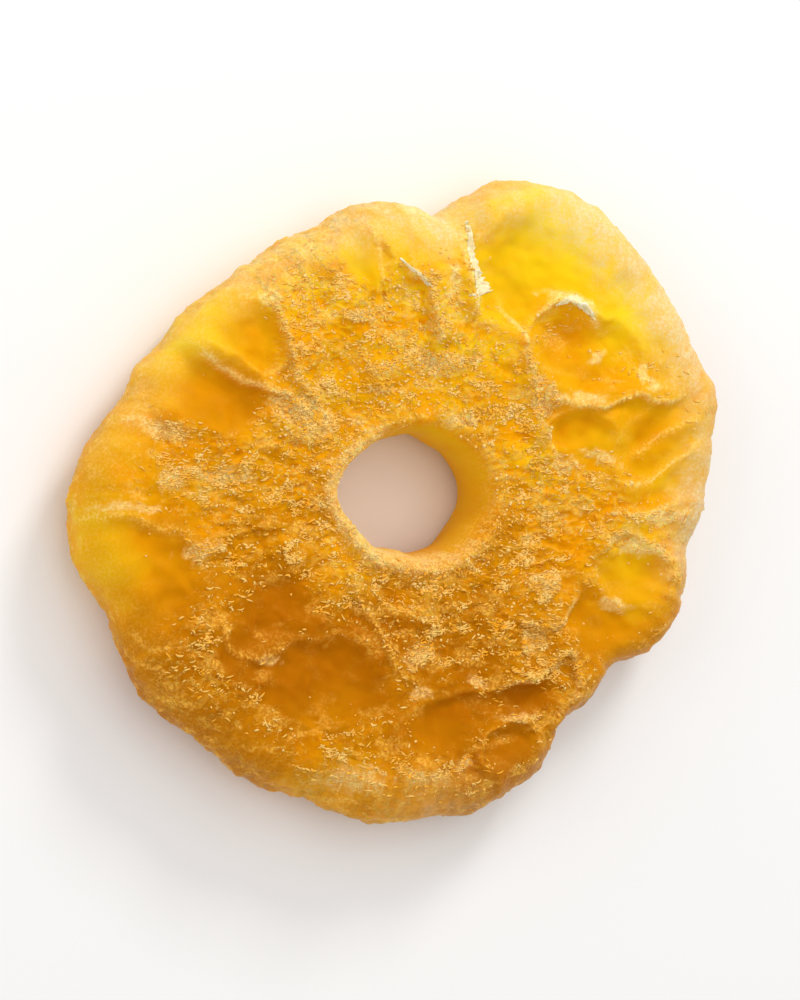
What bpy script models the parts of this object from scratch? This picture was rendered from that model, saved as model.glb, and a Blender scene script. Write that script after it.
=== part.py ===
"""A thick candied pineapple ring, lying on its back with the shown face up.

A plain ring is turned from a profile, then its surface is carved: the lobes of the rim, the pockets that
the fruitlets leave, the thin flaps between them, and an uneven back that is flat where the ring rests. +X is
to the right and +Y is up on the shown face. The origin is under the middle of the ring's box, on the surface
that it lies on.
"""

import bpy
import numpy as np
from mathutils import Vector, noise

# Every length below is in millimetres, and every angle in degrees, anticlockwise from +X round the hole's
# middle. TO_METRES is used once, where the mesh is made.
TO_METRES = 0.001
NAME = "pineapple_ring"

# The ring's main sizes. The hole is an oval that bulges to the upper right and has a tip at its left.
THICKNESS = 11.6
HOLE_HALF_WIDTH = 8.4
HOLE_HALF_HEIGHT = 6.9
HOLE_BULGE = 0.6
HOLE_BULGE_AT = 45
HOLE_TIP = 1.0
HOLE_TIP_AT = 178
HOLE_TIP_SPREAD = 15
HOLE_RIPPLE = 0.15
HOLE_WAIST = 0.3

# The turned blank, whose profile has a full round at the rim and a smaller round at the hole
BLANK_HOLE_RADIUS = 8.5
BLANK_RIM_RADIUS = 36.5
RIM_ROUND = 0.17
HOLE_ROUND = 0.06
TURN_STEPS = 128
TOP_ROWS = 16
RIM_ROWS = 8
BACK_ROWS = 8
HOLE_ROWS = 6

# The fruitlets that scallop the rim: the angle of each, how far it reaches from the hole's middle, and the
# angle over which its edge falls back by LOBE_DROP. Neighbours blend over LOBE_BLEND, and the whole rim lies
# RIM_SHIFT towards +X.
FRUITLETS = (
    (358, 36.0, 10), (19, 39.6, 13), (38, 39.4, 15), (56, 40.4, 13), (96, 33.8, 14), (119, 33.1, 15),
    (141, 34.5, 14), (158, 36.0, 12), (184, 41.0, 15), (212, 39.4, 17), (238, 37.6, 16), (263, 37.0, 15),
    (281, 37.0, 13), (295, 35.0, 9), (315, 31.8, 14), (340, 36.0, 11),
)
LOBE_DROP = 2.2
LOBE_BLEND = 0.8
RIM_SHIFT = 2.0

# The forms of the shown face lie this far towards -X of the places listed for them
FACE_SHIFT = 2.0

# A pocket is deep along one side and runs out level on the other. Its floor ends at FLOOR_TO of its reach,
# and its lip lies and spreads at the shares after that.
FLOOR_TO = 0.45
LIP_AT = 1.05
LIP_SPREAD = 0.16
POCKET_TILT = 0.42

# Pockets in the shown face: right, up, half length, half breadth, slant, depth, height of the lip, and the
# direction of the deep side
POCKETS = (
    (18.6, 27.2, 10.0, 7.4, 35, 2.0, 0.4, 190),
    (22.6, 16.6, 7.6, 5.0, -14, 2.5, 0.4, 125),
    (33.0, 6.4, 6.6, 4.4, 40, 0.9, 0.1, 150),
    (22.8, 7.2, 4.6, 2.6, 0, 0.9, 0.2, 120),
    (-23.0, 11.8, 8.6, 4.6, -24, 2.2, 0.3, 50),
    (-18.6, 18.4, 5.4, 3.8, -42, 1.2, 0.2, 340),
    (-31.4, -7.4, 9.0, 4.6, -18, 0.9, 0.1, 78),
    (-9.0, -20.6, 10.0, 5.4, -6, 0.6, 0.1, 96),
    (6.6, -25.4, 6.8, 3.2, 8, 0.9, 0.1, 100),
    (-19.4, -17.6, 3.4, 3.0, 0, 0.6, 0.1, 150),
    (-4.6, 27.4, 4.0, 2.8, -50, 1.0, 0.2, 30),
    (29.4, -9.2, 4.6, 3.6, 0, 0.9, 0.3, 70),
    (25.0, -14.6, 5.6, 4.0, -40, 0.9, 0.1, 130),
    (15.0, -22.8, 5.2, 2.2, 14, 1.6, 0.3, 98),
    (13.8, -28.6, 3.6, 2.8, 35, 1.0, 0.9, 150),
)

# Flaps between the fruitlets. Each rises gently from its right and drops sharply on its left, as one goes
# along its points: its height, and its points from end to end.
SHARP_SIDE = 1.3
GENTLE_SIDE = 2.8
FLAPS = (
    (1.1, ((-11.4, 9.4), (-15.2, 11.8), (-18.6, 12.7), (-21.5, 14.7), (-24.8, 17.4))),
    (0.8, ((-9.0, 9.3), (-11.6, 12.2), (-12.8, 16.0), (-14.7, 19.6), (-15.6, 24.0))),
    (1.2, ((3.9, 17.2), (4.4, 19.6), (3.9, 23.4), (2.0, 24.6), (-0.6, 26.6))),
    (0.7, ((-3.8, 31.0), (-2.8, 28.0), (-2.3, 24.0))),
    (1.3, ((9.2, 31.5), (8.5, 28.1), (8.6, 25.4), (9.8, 22.6), (8.2, 19.6))),
    (0.9, ((13.0, 22.4), (14.5, 19.1), (14.9, 16.4), (17.0, 11.6))),
    (1.0, ((25.0, 19.0), (23.4, 21.6), (21.2, 22.6), (19.0, 22.0), (16.6, 20.6))),
    (1.1, ((37.0, 12.6), (33.1, 11.5), (29.3, 12.2), (25.0, 10.4), (21.2, 10.3), (16.4, 11.6))),
    (0.8, ((17.4, 10.2), (18.2, 7.5), (19.4, 4.2))),
    (0.6, ((29.0, 4.6), (33.0, 7.4), (37.2, 9.6))),
    (0.7, ((27.0, 1.4), (31.2, 2.0), (35.1, 3.9), (37.6, 6.0))),
    (0.9, ((25.6, -2.4), (31.2, -1.8), (36.0, -0.6))),
    (1.1, ((33.2, -10.8), (33.6, -7.7), (32.0, -5.6), (29.6, -4.4), (26.6, -5.2), (23.4, -7.6))),
    (1.0, ((21.6, -10.8), (21.2, -12.9), (19.3, -14.4), (16.6, -14.8), (14.0, -13.6))),
    (1.1, (
        (18.4, -25.6), (21.0, -23.2), (22.8, -20.6), (20.9, -17.8), (17.4, -20.0), (13.8, -21.2), (9.8, -22.4),
    )),
    (0.5, ((-5.0, -9.4), (-1.8, -11.9), (2.5, -13.5), (6.8, -13.4))),
    (0.5, ((3.2, -21.8), (-0.4, -19.3), (-2.5, -15.6), (-5.4, -11.2), (-7.2, -7.8))),
    (0.4, ((-22.4, -5.8), (-28.0, -4.0), (-33.9, -2.3), (-40.0, -3.0))),
    (0.4, ((-13.2, -16.0), (-16.7, -17.6), (-20.5, -16.6), (-22.2, -12.0))),
)

# Low domes: right, up, radius, height
KNOBS = ((18.0, -10.4, 2.6, 1.3), (2.5, -31.5, 6.0, 0.8), (6.0, 27.6, 4.6, 0.8), (6.5, 17.0, 5.0, 0.5))

# Furrows that part two fruitlets: half width, depth, and points as for the flaps
FURROWS = (
    (1.8, 1.9, ((9.5, 36.5), (8.2, 32.0), (7.6, 28.6), (7.4, 24.6))),
    (1.5, 1.0, ((-13.0, 32.0), (-13.6, 28.0), (-12.2, 24.0))),
    (1.5, 1.0, ((-36.5, 8.0), (-31.0, 6.8), (-26.0, 6.4))),
)

# The raised rim of the hole: how far out its crest lies, its width and height, and the angle where
# it is highest
COLLAR_OUT = 1.3
COLLAR_WIDTH = 1.4
COLLAR_HEIGHT = 1.1
COLLAR_HIGH_AT = 250

# Strands of flesh run out from the hole: how many lie in one radian, how long, how high, and where
# they fade in
STRANDS_A_RADIAN = 5.0
STRAND_LENGTH = 18.0
STRAND_HEIGHT = 0.5
STRANDS_FROM = 9.0
STRANDS_FULL = 16.0

# Unevenness of the whole piece. DRIFT is how far each form strays from its place, over DRIFT_SIZE.
DRIFT = 1.0
DRIFT_SIZE = 7.0
LUMP_SIZE = 6.0
LUMP_HEIGHT = 0.8
RIM_LUMP_SIZE = 5.0
RIM_LUMP_HEIGHT = 0.7
SAG = 0.7
SAG_AT = 50

# The back: hollows, as the pockets are listed, between flat spots in the plane that the ring rests on
BACK_HOLLOWS = (
    (15.0, 21.0, 8.0, 6.0, 30, 2.2, 0.0, 60),
    (-22.0, 13.0, 7.0, 5.0, 10, 2.0, 0.0, 150),
    (-26.0, -11.0, 6.0, 5.0, -20, 2.0, 0.0, 200),
    (4.0, -22.0, 9.0, 5.0, 5, 2.1, 0.0, 280),
    (24.0, -9.0, 6.0, 5.0, -30, 2.0, 0.0, 330),
    (27.0, 7.0, 5.0, 4.0, 0, 1.6, 0.0, 20),
    (-3.0, 24.0, 6.0, 4.0, 0, 1.7, 0.0, 100),
    (-15.0, -22.0, 5.0, 4.0, 20, 1.7, 0.0, 230),
)
BACK_LUMP_SIZE = 7.5
BACK_LUMP_HEIGHT = 0.9
BACK_LUMP_BIAS = 0.05
REST_SPOT_RADIUS = 4.2
REST_SPOTS = (8, 68, 122, 178, 236, 296)
REST_SPOT_OUT = 22.0


def smooth_step(start, end, value):
    """0 at start and 1 at end, with a smooth slope between."""
    share = np.clip((value - start) / (end - start), 0.0, 1.0)
    return share * share * (3.0 - 2.0 * share)


def turn_from(angle, other):
    """The turn in degrees from one angle to the other, the short way."""
    return (angle - other + 180.0) % 360.0 - 180.0


def rim_radius(angle):
    """The lobed rim: the soft maximum of one cap for each fruitlet, moved along +X by RIM_SHIFT."""
    caps = [reach - LOBE_DROP * (turn_from(angle, at) / half) ** 2 for at, reach, half in FRUITLETS]
    lobed = LOBE_BLEND * np.log(sum(np.exp(cap / LOBE_BLEND) for cap in caps))
    return lobed + RIM_SHIFT * np.cos(np.radians(angle))


def hole_radius(angle):
    """The hole is a shrunken oval with a bulge, a tip and a slight ripple."""
    turned = np.radians(angle)
    oval = 1.0 / np.hypot(np.cos(turned) / HOLE_HALF_WIDTH, np.sin(turned) / HOLE_HALF_HEIGHT)
    bulge = HOLE_BULGE * np.cos(np.radians(angle - HOLE_BULGE_AT))
    tip = HOLE_TIP * np.exp(-((turn_from(angle, HOLE_TIP_AT) / HOLE_TIP_SPREAD) ** 2))
    return oval + bulge + tip + HOLE_RIPPLE * (np.sin(5.0 * turned + 0.7) + 0.7 * np.sin(9.0 * turned + 2.1))


def unevenness(x, y, z, size, seed):
    """Smooth noise of about -1 to 1 whose lumps have the given size."""
    places = [Vector((a / size, b / size, c / size + seed)) for a, b, c in zip(x, y, z)]
    return np.array([noise.fractal(place, 0.9, 2.0, 3) for place in places])


def strands(angle, radius):
    """Noise of about -1 to 1 drawn out along the radius."""
    turned = np.radians(angle)
    about = STRANDS_A_RADIAN
    return unevenness(about * np.cos(turned), about * np.sin(turned), radius / STRAND_LENGTH, 1.0, 7.1)


def pocket(x, y, right, up, half_long, half_short, slant, depth, lip, deep_side):
    """An oval basin whose floor slopes: steep, deep and lipped on one side, level with the face opposite."""
    turned = np.radians(slant)
    along = ((x - right) * np.cos(turned) + (y - up) * np.sin(turned)) / half_long
    across = ((y - up) * np.cos(turned) - (x - right) * np.sin(turned)) / half_short
    reach = np.hypot(along, across)
    toward = np.radians(deep_side - slant)
    tilt = np.clip(0.5 + POCKET_TILT * (along * np.cos(toward) + across * np.sin(toward)), 0.0, 1.0)
    edge = lip * np.exp(-(((reach - LIP_AT) / LIP_SPREAD) ** 2))
    return tilt * (edge - depth * smooth_step(LIP_AT, FLOOR_TO, reach))


def curve_through(points, samples=40):
    """Evenly numbered points along a smooth curve through the given ones."""
    points = np.array(points, float)
    ends = np.vstack([2.0 * points[0] - points[1], points, 2.0 * points[-1] - points[-2]])
    places = np.linspace(0.0, len(points) - 1.0, samples)
    step = np.minimum(places.astype(int), len(points) - 2)
    t = (places - step)[:, None]
    before, start, end, after = (ends[step + k] for k in range(4))
    bend = 2.0 * before - 5.0 * start + 4.0 * end - after
    twist = 3.0 * (start - end) + after - before
    return 0.5 * (2.0 * start + (end - before) * t + bend * t**2 + twist * t**3)


def ridge(x, y, left_width, right_width, height, points):
    """A ridge along a curve, which dies away at both ends and may be steeper on one side."""
    line = curve_through(points)
    heading = np.gradient(line, axis=0)
    gaps = np.hypot(x[:, None] - line[:, 0], y[:, None] - line[:, 1])
    nearest = gaps.argmin(axis=1)
    away_x, away_y = x - line[nearest, 0], y - line[nearest, 1]
    on_left = heading[nearest, 0] * away_y - heading[nearest, 1] * away_x > 0.0
    width = np.where(on_left, left_width, right_width)
    along = nearest / (len(line) - 1.0)
    taper = smooth_step(0.0, 0.15, along) * smooth_step(1.0, 0.85, along)
    return height * (0.25 + 0.75 * taper) * np.exp(-((gaps.min(axis=1) / width) ** 2))


def drifted(x, y):
    """The place strayed a little each way, so that no form has an even outline."""
    right = DRIFT * unevenness(x, y, 0.0 * x, DRIFT_SIZE, 31.5)
    up = DRIFT * unevenness(x, y, 0.0 * x, DRIFT_SIZE, 43.2)
    return x + right, y + up


def shown_face(x, y, angle, radius):
    """The height of the shown face over its level."""
    x, y = drifted(x + FACE_SHIFT, y)
    relief = sum(pocket(x, y, *sizes) for sizes in POCKETS)
    relief += sum(ridge(x, y, SHARP_SIDE, GENTLE_SIDE, *sizes) for sizes in FLAPS)
    relief -= sum(ridge(x, y, half_width, half_width, depth, line) for half_width, depth, line in FURROWS)
    for right, up, dome_radius, height in KNOBS:
        relief += height * smooth_step(dome_radius, 0.2 * dome_radius, np.hypot(x - right, y - up))
    crest = (radius - hole_radius(angle) - COLLAR_OUT) / COLLAR_WIDTH
    lean = 0.55 + 0.45 * np.cos(np.radians(angle - COLLAR_HIGH_AT))
    relief += COLLAR_HEIGHT * lean * np.exp(-(crest**2))
    relief += STRAND_HEIGHT * strands(angle, radius) * smooth_step(STRANDS_FROM, STRANDS_FULL, radius)
    return relief + LUMP_HEIGHT * unevenness(x, y, 0.0 * x, LUMP_SIZE, 3.7)


def back_face(x, y):
    """The height of the back over the plane that the ring rests on, 0 on the flat spots."""
    relief = BACK_LUMP_HEIGHT * (unevenness(x, y, 0.0 * x, BACK_LUMP_SIZE, 11.3) + BACK_LUMP_BIAS)
    relief -= sum(pocket(x, y, *sizes) for sizes in BACK_HOLLOWS)
    for at in REST_SPOTS:
        turned = np.radians(at)
        away = np.hypot(x - REST_SPOT_OUT * np.cos(turned), y - REST_SPOT_OUT * np.sin(turned))
        relief = relief * smooth_step(REST_SPOT_RADIUS, 1.5 * REST_SPOT_RADIUS, away)
    return np.maximum(relief, 0.0)


def carve(angle, across, level):
    """Where a point of the blank goes, from its share of the way out to the rim and of the way up."""
    inner = hole_radius(angle) - HOLE_WAIST * np.sin(np.pi * level)
    outer = rim_radius(angle)
    radius = inner + across * (outer - inner)
    turned = np.radians(angle)
    x, y = radius * np.cos(turned), radius * np.sin(turned)
    back = back_face(x, y)
    sag = SAG * np.cos(np.radians(2.0 * (angle - SAG_AT))) * (radius / BLANK_RIM_RADIUS) ** 2
    top = THICKNESS + sag + shown_face(x, y, angle, radius)
    z = back + level * (top - back)
    side = smooth_step(0.8, 1.0, across) * np.sin(np.pi * np.clip(level, 0.0, 1.0))
    swell = RIM_LUMP_HEIGHT * side * unevenness(x, y, z, RIM_LUMP_SIZE, 21.9)
    return x + swell * np.cos(turned), y + swell * np.sin(turned), z


def blank_profile():
    """The closed section of the blank, as (across, level): the rim, the back, the hole, then the top."""
    rim_turn = np.linspace(90.0, -90.0, RIM_ROWS + 1)
    rim = [(1.0 - RIM_ROUND * (1.0 - np.cos(a)), 0.5 + 0.5 * np.sin(a)) for a in np.radians(rim_turn)]
    hole_turn = np.linspace(-90.0, -270.0, HOLE_ROWS + 1)
    hole = [(HOLE_ROUND * (1.0 + np.cos(a)), 0.5 + 0.5 * np.sin(a)) for a in np.radians(hole_turn)]
    back = [(across, 0.0) for across in np.linspace(1.0 - RIM_ROUND, HOLE_ROUND, BACK_ROWS + 1)[1:-1]]
    top = [(across, 1.0) for across in np.linspace(HOLE_ROUND, 1.0 - RIM_ROUND, TOP_ROWS + 1)[1:-1]]
    return rim + back + hole + top


def turned_blank(collection):
    """The blank: its profile turned once round the hole's axis."""
    width = BLANK_RIM_RADIUS - BLANK_HOLE_RADIUS
    points = [
        ((BLANK_HOLE_RADIUS + across * width) * TO_METRES, 0.0, level * THICKNESS * TO_METRES)
        for across, level in blank_profile()
    ]
    edges = [(i, (i + 1) % len(points)) for i in range(len(points))]
    mesh = bpy.data.meshes.new(NAME + "_profile")
    mesh.from_pydata(points, edges, [])
    blank = bpy.data.objects.new(NAME + "_blank", mesh)
    collection.objects.link(blank)
    screw = blank.modifiers.new("turn", "SCREW")
    screw.axis = "Z"
    screw.steps = TURN_STEPS
    screw.render_steps = TURN_STEPS
    screw.use_merge_vertices = True
    screw.merge_threshold = 0.0001
    return blank


def carved_ring(collection):
    """The ring: the turned blank with every point moved to its place in the fruit."""
    blank = turned_blank(collection)
    bpy.context.view_layer.update()
    mesh = bpy.data.meshes.new_from_object(blank.evaluated_get(bpy.context.evaluated_depsgraph_get()))
    bpy.data.objects.remove(blank)
    points = np.array([vertex.co for vertex in mesh.vertices]) / TO_METRES
    angle = np.degrees(np.arctan2(points[:, 1], points[:, 0]))
    radius = np.hypot(points[:, 0], points[:, 1])
    across = (radius - BLANK_HOLE_RADIUS) / (BLANK_RIM_RADIUS - BLANK_HOLE_RADIUS)
    carved = np.column_stack(carve(angle, across, points[:, 2] / THICKNESS))
    middle = 0.5 * (carved.min(axis=0) + carved.max(axis=0))
    carved -= (middle[0], middle[1], carved[:, 2].min())
    mesh.vertices.foreach_set("co", (carved * TO_METRES).ravel())
    mesh.shade_smooth()
    mesh.name = NAME
    ring = bpy.data.objects.new(NAME, mesh)
    collection.objects.link(ring)
    return ring


def candied_flesh():
    """Amber, slightly see-through fruit under a dull sugar frost."""
    material = bpy.data.materials.new("candied_flesh")
    material.use_nodes = True
    shader = material.node_tree.nodes["Principled BSDF"]
    shader.inputs["Base Color"].default_value = (0.76, 0.36, 0.02, 1.0)
    shader.inputs["Roughness"].default_value = 0.38
    shader.inputs["Metallic"].default_value = 0.0
    shader.inputs["Subsurface Weight"].default_value = 0.4
    shader.inputs["Subsurface Scale"].default_value = 0.003
    return material


for old in list(bpy.data.objects):
    bpy.data.objects.remove(old)
parts = bpy.data.collections.new(NAME)
bpy.context.scene.collection.children.link(parts)
carved_ring(parts).data.materials.append(candied_flesh())
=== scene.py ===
"""The looks of a candied pineapple ring that lies on its back: its flesh, its frost of sugar and the studio.

The flesh repeats the solid's own form on a much finer mesh, with the same sizes, and adds what the solid
can't hold: sharp flaps, crumbs, fibres and curled crests. Shreds of torn skin, grains of sugar and small
curls of dried fibre lie on it.
"""

import math

import bpy
import numpy as np
from mathutils import Matrix, Vector, noise


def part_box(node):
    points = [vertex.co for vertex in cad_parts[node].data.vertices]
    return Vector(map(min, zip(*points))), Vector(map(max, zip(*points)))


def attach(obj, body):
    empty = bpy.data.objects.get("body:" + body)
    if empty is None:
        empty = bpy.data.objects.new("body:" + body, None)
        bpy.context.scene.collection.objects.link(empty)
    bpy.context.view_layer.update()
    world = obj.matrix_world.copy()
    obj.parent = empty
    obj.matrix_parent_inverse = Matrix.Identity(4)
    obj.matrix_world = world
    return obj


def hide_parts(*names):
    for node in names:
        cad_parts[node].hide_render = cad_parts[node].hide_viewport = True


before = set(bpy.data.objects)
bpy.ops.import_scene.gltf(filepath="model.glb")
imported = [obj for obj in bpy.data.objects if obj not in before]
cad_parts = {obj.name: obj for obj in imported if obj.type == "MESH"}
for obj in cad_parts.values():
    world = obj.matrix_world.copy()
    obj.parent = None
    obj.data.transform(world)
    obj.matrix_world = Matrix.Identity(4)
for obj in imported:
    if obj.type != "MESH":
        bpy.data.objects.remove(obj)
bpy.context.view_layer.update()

# Lengths are in millimetres, but for the camera's and the lights', which are in metres. Angles are in
# degrees, anticlockwise from +X round the hole's middle. TO_METRES is used where a mesh is made.
TO_METRES = 0.001
NODE = "pineapple_ring"
SEED = 20

# The ring's main sizes, as in the solid. The hole is an oval that bulges to the upper right and has a tip
# at its left.
THICKNESS = 11.6
HOLE_HALF_WIDTH = 8.4
HOLE_HALF_HEIGHT = 6.9
HOLE_BULGE = 0.6
HOLE_BULGE_AT = 45
HOLE_TIP = 1.0
HOLE_TIP_AT = 178
HOLE_TIP_SPREAD = 15
HOLE_RIPPLE = 0.15
HOLE_WAIST = 0.3
BLANK_RIM_RADIUS = 36.5
RIM_ROUND = 0.17
HOLE_ROUND = 0.06

# How finely the blank is divided
TURN_STEPS = 700
TOP_ROWS = 104
RIM_ROWS = 16
BACK_ROWS = 14
HOLE_ROWS = 8

# The fruitlets that scallop the rim, as in the solid: the angle of each, how far it reaches, and the angle
# over which its edge falls back by LOBE_DROP
FRUITLETS = (
    (358, 36.0, 10), (19, 39.6, 13), (38, 39.4, 15), (56, 40.4, 13), (96, 33.8, 14), (119, 33.1, 15),
    (141, 34.5, 14), (158, 36.0, 12), (184, 41.0, 15), (212, 39.4, 17), (238, 37.6, 16), (263, 37.0, 15),
    (281, 37.0, 13), (295, 35.0, 9), (315, 31.8, 14), (340, 36.0, 11),
)
LOBE_DROP = 2.2
LOBE_BLEND = 0.8

# How far the rim lies towards +X, and the forms of the shown face towards -X, of the places listed for them
RIM_SHIFT = 2.0
FACE_SHIFT = 2.0

# A pocket is deep along one side and runs out level on the other. Its floor ends at FLOOR_TO of its reach,
# and its lip lies and spreads at the shares after that. Its walls are steeper here than the solid can hold.
FLOOR_TO = 0.50
LIP_AT = 1.05
LIP_SPREAD = 0.12
POCKET_TILT = 0.42

# Pockets in the shown face: right, up, half length, half breadth, slant, depth, height of the lip, and the
# direction of the deep side
POCKETS = (
    (18.6, 27.2, 10.0, 7.4, 35, 2.0, 0.4, 190),
    (22.6, 16.6, 7.6, 5.0, -14, 2.5, 0.4, 125),
    (33.0, 6.4, 6.6, 4.4, 40, 0.9, 0.1, 150),
    (22.8, 7.2, 4.6, 2.6, 0, 0.9, 0.2, 120),
    (-23.0, 11.8, 8.6, 4.6, -24, 2.2, 0.3, 50),
    (-18.6, 18.4, 5.4, 3.8, -42, 1.2, 0.2, 340),
    (-31.4, -7.4, 9.0, 4.6, -18, 0.9, 0.1, 78),
    (-9.0, -20.6, 10.0, 5.4, -6, 0.6, 0.1, 96),
    (6.6, -25.4, 6.8, 3.2, 8, 0.9, 0.1, 100),
    (-19.4, -17.6, 3.4, 3.0, 0, 0.6, 0.1, 150),
    (-4.6, 27.4, 4.0, 2.8, -50, 1.0, 0.2, 30),
    (29.4, -9.2, 4.6, 3.6, 0, 0.9, 0.3, 70),
    (25.0, -14.6, 5.6, 4.0, -40, 0.9, 0.1, 130),
    (15.0, -22.8, 5.2, 2.2, 14, 1.6, 0.3, 98),
    (13.8, -28.6, 3.6, 2.8, 35, 1.0, 0.9, 150),
)

# Flaps between the fruitlets. Each rises gently from its right and drops sharply on its left, as one goes
# along its points: its height, and its points from end to end. They are sharper here than the solid can
# hold.
SHARP_SIDE = 0.45
GENTLE_SIDE = 2.2
FLAPS = (
    (1.1, ((-11.4, 9.4), (-15.2, 11.8), (-18.6, 12.7), (-21.5, 14.7), (-24.8, 17.4))),
    (0.8, ((-9.0, 9.3), (-11.6, 12.2), (-12.8, 16.0), (-14.7, 19.6), (-15.6, 24.0))),
    (1.2, ((3.9, 17.2), (4.4, 19.6), (3.9, 23.4), (2.0, 24.6), (-0.6, 26.6))),
    (0.7, ((-3.8, 31.0), (-2.8, 28.0), (-2.3, 24.0))),
    (1.3, ((9.2, 31.5), (8.5, 28.1), (8.6, 25.4), (9.8, 22.6), (8.2, 19.6))),
    (0.9, ((13.0, 22.4), (14.5, 19.1), (14.9, 16.4), (17.0, 11.6))),
    (1.0, ((25.0, 19.0), (23.4, 21.6), (21.2, 22.6), (19.0, 22.0), (16.6, 20.6))),
    (1.1, ((37.0, 12.6), (33.1, 11.5), (29.3, 12.2), (25.0, 10.4), (21.2, 10.3), (16.4, 11.6))),
    (0.8, ((17.4, 10.2), (18.2, 7.5), (19.4, 4.2))),
    (0.6, ((29.0, 4.6), (33.0, 7.4), (37.2, 9.6))),
    (0.7, ((27.0, 1.4), (31.2, 2.0), (35.1, 3.9), (37.6, 6.0))),
    (0.9, ((25.6, -2.4), (31.2, -1.8), (36.0, -0.6))),
    (1.1, ((33.2, -10.8), (33.6, -7.7), (32.0, -5.6), (29.6, -4.4), (26.6, -5.2), (23.4, -7.6))),
    (1.0, ((21.6, -10.8), (21.2, -12.9), (19.3, -14.4), (16.6, -14.8), (14.0, -13.6))),
    (1.1, ((18.4, -25.6), (21.0, -23.2), (22.8, -20.6), (20.9, -17.8), (17.4, -20.0), (13.8, -21.2),
           (9.8, -22.4))),
    (0.5, ((-5.0, -9.4), (-1.8, -11.9), (2.5, -13.5), (6.8, -13.4))),
    (0.5, ((3.2, -21.8), (-0.4, -19.3), (-2.5, -15.6), (-5.4, -11.2), (-7.2, -7.8))),
    (0.4, ((-22.4, -5.8), (-28.0, -4.0), (-33.9, -2.3), (-40.0, -3.0))),
    (0.4, ((-13.2, -16.0), (-16.7, -17.6), (-20.5, -16.6), (-22.2, -12.0))),
)

# Low domes: right, up, radius, height
KNOBS = ((18.0, -10.4, 2.6, 1.3), (2.5, -31.5, 6.0, 0.8), (6.0, 27.6, 4.6, 0.8), (6.5, 17.0, 5.0, 0.5))

# Furrows that part two fruitlets: half width, depth, and points as for the flaps
FURROWS = (
    (1.8, 1.9, ((9.5, 36.5), (8.2, 32.0), (7.6, 28.6), (7.4, 24.6))),
    (1.5, 1.0, ((-13.0, 32.0), (-13.6, 28.0), (-12.2, 24.0))),
    (1.5, 1.0, ((-36.5, 8.0), (-31.0, 6.8), (-26.0, 6.4))),
)

# The raised rim of the hole: how far out its crest lies, its width and height, and the angle where it is
# highest
COLLAR_OUT = 1.3
COLLAR_WIDTH = 1.4
COLLAR_HEIGHT = 1.1
COLLAR_HIGH_AT = 250

# The cream on it: where round the hole it is thickest, how far out it lies, and how wide it is
CREAM_COLLAR_AT = 215
CREAM_COLLAR_OUT = 1.0
CREAM_COLLAR_WIDTH = 1.4

# Strands of flesh run out from the hole: how many lie in one radian, how long, how high, and where they
# fade in
STRANDS_A_RADIAN = 5.0
STRAND_LENGTH = 18.0
STRAND_HEIGHT = 0.5
STRANDS_FROM = 9.0
STRANDS_FULL = 16.0

# Unevenness of the whole piece. DRIFT is how far each form strays from its place, over DRIFT_SIZE.
DRIFT = 1.0
DRIFT_SIZE = 7.0
LUMP_SIZE = 6.0
LUMP_HEIGHT = 0.8
RIM_LUMP_SIZE = 5.0
RIM_LUMP_HEIGHT = 0.7
SAG = 0.7
SAG_AT = 50

# The back: hollows, as the pockets are listed, between flat spots in the plane that the ring rests on
BACK_HOLLOWS = (
    (15.0, 21.0, 8.0, 6.0, 30, 2.2, 0.0, 60),
    (-22.0, 13.0, 7.0, 5.0, 10, 2.0, 0.0, 150),
    (-26.0, -11.0, 6.0, 5.0, -20, 2.0, 0.0, 200),
    (4.0, -22.0, 9.0, 5.0, 5, 2.1, 0.0, 280),
    (24.0, -9.0, 6.0, 5.0, -30, 2.0, 0.0, 330),
    (27.0, 7.0, 5.0, 4.0, 0, 1.6, 0.0, 20),
    (-3.0, 24.0, 6.0, 4.0, 0, 1.7, 0.0, 100),
    (-15.0, -22.0, 5.0, 4.0, 20, 1.7, 0.0, 230),
)
BACK_LUMP_SIZE = 7.5
BACK_LUMP_HEIGHT = 0.9
BACK_LUMP_BIAS = 0.05
REST_SPOT_RADIUS = 4.2
REST_SPOTS = (8, 68, 122, 178, 236, 296)
REST_SPOT_OUT = 22.0

# Fine relief, which only this mesh holds. The fibres of the fruit draw it out along X by FIBRE_STRETCH.
FIBRE_STRETCH = 1.9
CRUMB_SIZE = 1.8
CRUMB_HEIGHT = 0.19
CREST_SIZE = 1.1
CREST_HEIGHT = 0.17
CREST_HALF_WIDTH = 0.24
GRAIN_SIZE = 0.9
GRAIN_HEIGHT = 0.16
CLUSTER_SIZE = 5.0

# Painted light: the flesh is painted darkest at the bottom of the shown face and lightest at its top, as if
# lit from there: the places along Y between which it changes, and its shares of painted light there. Pockets
# get painted shade and the hole's wall painted light beyond that, and all of it is patchy.
SHADED_BELOW = -24.0
LIT_ABOVE = 30.0
LEAST_PAINTED_LIGHT = 0.10
MOST_PAINTED_LIGHT = 0.85
POCKET_PAINTED_SHADE = 0.18
WALL_PAINTED_LIGHT = 0.2
PAINTED_LIGHT_PATCH = 0.14
PAINTED_LIGHT_PATCH_SIZE = 6.0
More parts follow.
